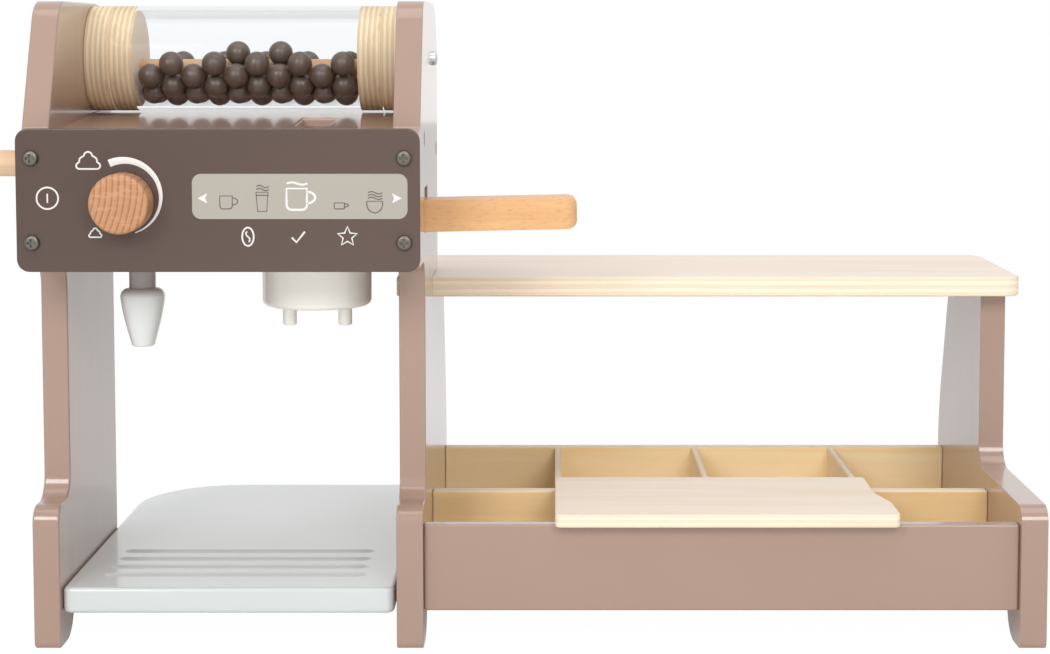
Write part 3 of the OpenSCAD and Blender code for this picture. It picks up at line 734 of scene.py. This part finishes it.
def outlet():
    """The outlet, with a rounded lower rim."""
    r, height, rim = half_width("brew_outlet", "Z"), size("brew_outlet").z, 3 * MM
    profile = [(0, 0)] + arc(r - rim, rim, rim, -90, 0, 8) + [(r, height), (0, height)]
    turned("brew_outlet", "Z", profile, [outlet_paint])


def spouts():
    """The outlet's spouts, in one piece."""
    bm = bmesh.new()
    for low, high in loose_boxes("brew_spouts"):
        foot = (low + high) / 2
        foot.z = low.z
        spout = lathe(rod((high.x - low.x) / 2, high.z - low.z, 0.8 * MM), foot, "Z", 48)
        mesh = bpy.data.meshes.new("spout")
        spout.to_mesh(mesh)
        spout.free()
        bm.from_mesh(mesh)
        bpy.data.meshes.remove(mesh)
    piece("spout_pair", bm, [outlet_paint], nodes=["brew_spouts"])


def wand():
    """The wand's rod, and its tip, which swells from a narrow foot to a rounded shoulder."""
    r, height = half_width("wand_tip", "Z"), size("wand_tip").z
    foot_r, foot_ease, shoulder, steps = r * 0.52, 1 * MM, 4 * MM, 12
    sides = []
    for i in range(1, steps):
        t = i / steps
        swell = (t + math.sin(math.pi / 2 * t)) / 2
        rise = (height - shoulder - foot_ease) * t
        sides.append((foot_r + (r - foot_r) * swell, foot_ease + rise))
    profile = (
        [(0, 0)]
        + arc(foot_r - foot_ease, foot_ease, foot_ease, -90, 0, 6)
        + sides
        + arc(r - shoulder, height - shoulder, shoulder, 0, 90, 8)
        + [(0, height)]
    )
    turned("wand_tip", "Z", profile, [tip_paint])
    profile = rod(half_width("wand_rod", "Z"), size("wand_rod").z, 0.3 * MM)
    turned("wand_rod", "Z", profile, [rod_grey_painted_shade])


outlet()
spouts()
wand()


# ---------------------------------------------------------------- print on the control panel

# Places and lengths of the print are in millimetres, from the middle of the panel.
panel_low, panel_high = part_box("control_panel")
panel_mid = (panel_low + panel_high) / 2
INK_T = 0.12 * MM
INK_SHARP = 30
FINE, LINE, BOLD = 0.5, 0.75, 0.9

POWER_X, DRINK_Z, BUTTON_Z = -73.7, 1.0, -15.7
DIAL = (-40.7, 1.9)
FIELD, FIELD_SIZE, FIELD_R = (35.5, 1.8), (93.2, 19.6), 3.9


def strokes(name, lines, finish, lift=0.0):
    """Ink lines on the panel, each as (points, width, closed).

    A width may be a pair, for a line that tapers from its start to its end.
    """
    curve = bpy.data.curves.new(name, "CURVE")
    curve.dimensions = "3D"
    curve.bevel_depth = 0.5 * MM
    curve.bevel_resolution = 2
    curve.use_fill_caps = True
    for points, width, closed in lines:
        spline = curve.splines.new("POLY")
        spline.points.add(len(points) - 1)
        spline.use_cyclic_u = closed
        wide, narrow = width if isinstance(width, tuple) else (width, width)
        for i, (x, z) in enumerate(points):
            share = i / max(1, len(points) - 1)
            spline.points[i].co = (panel_mid.x + x * MM, 0, panel_mid.z + z * MM, 1)
            spline.points[i].radius = wide + (narrow - wide) * share
    made = show(bpy.data.objects.new(name + "_curve", curve))
    mesh = bpy.data.meshes.new_from_object(made)
    bpy.data.objects.remove(made)
    bm = bmesh.new()
    bm.from_mesh(mesh)
    bpy.data.meshes.remove(mesh)
    for vert in bm.verts:
        vert.co.y = panel_low.y - lift - max(0, min(INK_T, -vert.co.y))
    bmesh.ops.remove_doubles(bm, verts=bm.verts, dist=WELD)
    bmesh.ops.recalc_face_normals(bm, faces=bm.faces)
    piece(name, bm, [finish], sharp=INK_SHARP)


def plate(name, outline, finish, lift=0.0):
    """A flat shape of ink on the panel, from its outline."""
    bm = bmesh.new()
    y = panel_low.y - lift
    face = bm.faces.new(
        [bm.verts.new((panel_mid.x + x * MM, y, panel_mid.z + z * MM)) for x, z in outline]
    )
    grown = bmesh.ops.extrude_face_region(bm, geom=[face])
    moved = [g for g in grown["geom"] if isinstance(g, bmesh.types.BMVert)]
    bmesh.ops.translate(bm, verts=moved, vec=(0, -INK_T, 0))
    bmesh.ops.recalc_face_normals(bm, faces=bm.faces)
    piece(name, bm, [finish], sharp=INK_SHARP)


def rounded_bar(x, z, w, h, r):
    """Outline of a bar with round corners, from its middle."""
    corners = [(1, -1, -90), (1, 1, 0), (-1, 1, 90), (-1, -1, 180)]
    return [
        point
        for sx, sz, start in corners
        for point in arc(x + sx * (w / 2 - r), z + sz * (h / 2 - r), r, start, start + 90, 8)
    ]


def cloud(x, z, w):
    """A cloud of a tall middle lobe and low ones beside it, over a flat base."""
    right = [(0.36, -0.23, 0.13, -90, 70), (0.2, -0.02, 0.16, -15, 75)]
    left = [(-u, v, r, 180 - end, 180 - start) for u, v, r, start, end in right[::-1]]
    return [
        point
        for u, v, r, start, end in right + [(0, 0.17, 0.17, 5, 175)] + left
        for point in arc(x + u * w, z + v * w, r * w, start, end, 8)
    ]


def cup(x, z, w, h, line, handle):
    """A straight-sided cup with a handle on its right."""
    r = min(w, h) * 0.25
    body = (
        [(x - w / 2, z + h / 2)]
        + arc(x - w / 2 + r, z - h / 2 + r, r, 180, 270, 6)
        + arc(x + w / 2 - r, z - h / 2 + r, r, 270, 360, 6)
        + [(x + w / 2, z + h / 2)]
    )
    grip = arc(x + w / 2, z + h * 0.08, handle, 90, -90, 10, h * 0.27)
    return [(body, line, True), (grip, line, False)]


def steam(x, z, w, line, lifts=(0,)):
    """Flat waves of steam, one at each lift above z."""
    rise, steps = 0.5, 12
    turns = [i / steps for i in range(steps + 1)]
    wave = [(x + w * (t - 0.5), z + rise * math.sin(math.tau * t)) for t in turns]
    return [([(u, v + lift) for u, v in wave], line, False) for lift in lifts]


def glass(x, z, line):
    """A tall glass with a rim, and steam over it."""
    sides = [(x - 2.6, z + 3.4), (x - 2.0, z - 4.9), (x + 2.0, z - 4.9), (x + 2.6, z + 3.4)]
    rim = [(x - 2.8, z + 2.1), (x + 2.8, z + 2.1)]
    return [(sides, line, True), (rim, line, False)] + steam(x + 0.3, z, 5.4, line, (4.6, 5.9))


def bowl(x, z, line):
    """A round cup without a handle, and steam over it."""
    side = [(x - 3.4, z + 0.6)] + arc(x, z - 0.6, 3.4, 180, 360, 14, 3.8) + [(x + 3.4, z + 0.6)]
    return [(side, line, True)] + steam(x + 0.2, z, 6.2, line, (1.9, 3.1, 4.3))


def bean(x, z, line):
    """An upright bean with its crease."""
    turns = (-2, -1.4, -0.7, 0, 0.7, 1.4, 2)
    crease = [(x + 0.9 * math.sin(t * 1.4), z - t * 1.15) for t in turns]
    return [(arc(x, z, 2.5, 90, 450, 24, 4), line, True), (crease, line * 0.9, False)]


def star(x, z, r):
    """Outline of a star with five points."""
    reach = [r, r * 0.45] * 5
    angles = [math.pi * i / 5 for i in range(10)]
    return [(x + s * math.sin(a), z + s * math.cos(a)) for s, a in zip(reach, angles)]


def tick(x, z):
    return [(x - 2.0, z - 0.4), (x, z - 2.4), (x + 3.7, z + 2.2)]


def arrow(x, z, way):
    """Outline of a notched arrowhead that points left, with way -1, or right, with way 1."""
    reach, notch, half = way * 2.1, way * 1.2, 2.2
    outline = [(x + reach, z), (x - reach, z + half), (x - notch, z), (x - reach, z - half)]
    return outline if way < 0 else outline[::-1]


def dial_arc(x, z):
    """The line round the knob, which runs clockwise and slightly outwards."""
    first, sweep, inner, spread, steps = 113, -186, 15.4, 1.1, 48
    turns = [i / steps for i in range(steps + 1)]
    return [arc(x, z, inner + spread * t, first + sweep * t, 0, 1)[0] for t in turns]


def panel_print():
    plate("display_field", rounded_bar(*FIELD, *FIELD_SIZE, FIELD_R), display_field)
    white = [
        (arc(POWER_X, DRINK_Z, 4.7, 90, 450), LINE, True),
        ([(POWER_X, DRINK_Z - 2), (POWER_X, DRINK_Z + 2)], 0.7, False),
        (cloud(-55.8, 17.5, 10.6), LINE, True),
        (cloud(-53.2, -13.9, 5.6), 0.65, True),
        (dial_arc(*DIAL), (3.3, 0.5), False),
        (star(56.0, BUTTON_Z, 4.4), LINE, True),
        (tick(33.9, BUTTON_Z), BOLD, False),
    ] + bean(12.9, BUTTON_Z, LINE)
    strokes("panel_print_white", white, ink_white)
    for side, x, way in (("left", -6.6, -1), ("right", 77.5, 1)):
        outline = arrow(x, DRINK_Z, way)
        plate(f"display_arrow_{side}", outline, ink_white, INK_T)
    large = cup(34.2, 0.6, 8.8, 9.2, 1.0, 3.6) + steam(34.4, 7.4, 9, BOLD)
    strokes("display_print_white", large, ink_white, INK_T)
    small = (
        cup(3.6, -0.8, 5.4, 5.6, FINE, 2.3)
        + glass(19.2, 0.2, FINE)
        + cup(52.6, -2.3, 4.4, 2.6, FINE, 1.8)
        + bowl(67.9, -0.9, FINE)
    )
    strokes("display_print_grey", small, ink_grey, INK_T)


panel_print()


# ---------------------------------------------------------------- CAD nodes that stay

for nodes, finish in (
    (("housing_screws", "plug_screws", "outlet_screws", "storage_screws", "lever_pin"), zinc),
    (("control_panel_screws",), dark_steel),
    (("housing_floor",), taupe_long),
    (("knob_shaft", "shelf_dowels", "tray_dowels"), dowel_wood),
    (("knob_retainer",), birch_disc_painted_light),
):
    for node in nodes:
        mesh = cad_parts[node].data
        mesh.materials.clear()
        mesh.materials.append(finish)
        shade(mesh)


# ---------------------------------------------------------------- studio

LENS, SENSOR = 72.97, 36
SHIFT_X, SHIFT_Y = -0.0286, -0.12
CAMERA_X, CAMERA_BACK, CAMERA_Z = 15.85 * MM, 904 * MM, 272.4 * MM
CAMERA_DOWN = math.radians(4.325)

# Each lamp's name, place, target, width, height and power.
LAMPS = (
    ("key_left", (-0.75, -1.5, 0.95), (0, 0, 0.1), 0.6, 0.6, 10.5),
    ("key_right", (0.45, -1.6, 0.95), (0, 0, 0.1), 0.6, 0.6, 9.5),
    ("top", (0.15, -0.3, 1.6), (0, 0.05, 0.1), 1.6, 1.0, 8),
)
ROOM_LEVEL = 0.56

FLOOR_HALF, FLOOR_DROP = 6, 0.1 * MM
FLOOR_GREY, FLOOR_ROUGHNESS, FLOOR_GLOW = 0.93, 0.9, 1.02
GLOW_SEEN, GLOW_MIRRORED = 0.965, 0.2


def camera():
    """A camera in front of the object, at the height of the head, that looks slightly down."""
    data = bpy.data.cameras.new("camera")
    data.sensor_width = SENSOR
    data.lens = LENS
    data.shift_x, data.shift_y = SHIFT_X, SHIFT_Y
    made = show(bpy.data.objects.new("camera", data))
    made.location = (CAMERA_X, cad_low.y - CAMERA_BACK, CAMERA_Z)
    made.rotation_euler = (math.radians(90) - CAMERA_DOWN, 0, 0)
    bpy.context.scene.camera = made


def lamp(name, place, target, width, height, power):
    data = bpy.data.lights.new(name, "AREA")
    data.shape = "RECTANGLE"
    data.size = width
    data.size_y = height
    data.energy = power
    made = show(bpy.data.objects.new(name, data))
    made.location = place
    made.rotation_mode = "QUATERNION"
    made.rotation_quaternion = (Vector(target) - Vector(place)).to_track_quat("-Z", "Y")


def white_room():
    """A world that is white to the camera and in what it mirrors, and dimmer as a light."""
    world = bpy.data.worlds.new("studio")
    bpy.context.scene.world = world
    world.use_nodes = True
    graph = Graph(world.node_tree)
    seen = graph.ray("Camera") | graph.ray("Glossy") | graph.ray("Transmission")
    level = seen * (1 - ROOM_LEVEL) + ROOM_LEVEL
    background = world.node_tree.nodes["Background"]
    background.inputs["Color"].default_value = (1, 1, 1, 1)
    graph.tree.links.new(level.socket, background.inputs["Strength"])


def floor():
    """A floor that glows to the camera, so that shadows on it stay faint."""
    bm = bmesh.new()
    bmesh.ops.create_grid(bm, x_segments=1, y_segments=1, size=FLOOR_HALF)
    bmesh.ops.translate(bm, verts=bm.verts, vec=(0, 0, -FLOOR_DROP))
    mesh = bpy.data.meshes.new("floor")
    bm.to_mesh(mesh)
    bm.free()
    made = show(bpy.data.objects.new("floor", mesh))
    f = Finish("floor_white", (FLOOR_GREY, FLOOR_GREY, FLOOR_GREY), FLOOR_ROUGHNESS)
    matt = Value(f, f.shader.outputs[0])
    glow = f.node("ShaderNodeEmission", inputs={"Strength": FLOOR_GLOW})
    share = f.ray("Camera") * GLOW_SEEN + f.ray("Glossy") * GLOW_MIRRORED
    f.surface(f.blend(share, matt, glow))
    mesh.materials.append(f.material)


camera()
for row in LAMPS:
    lamp(*row)
white_room()
floor()
bpy.context.scene.view_settings.view_transform = "Standard"
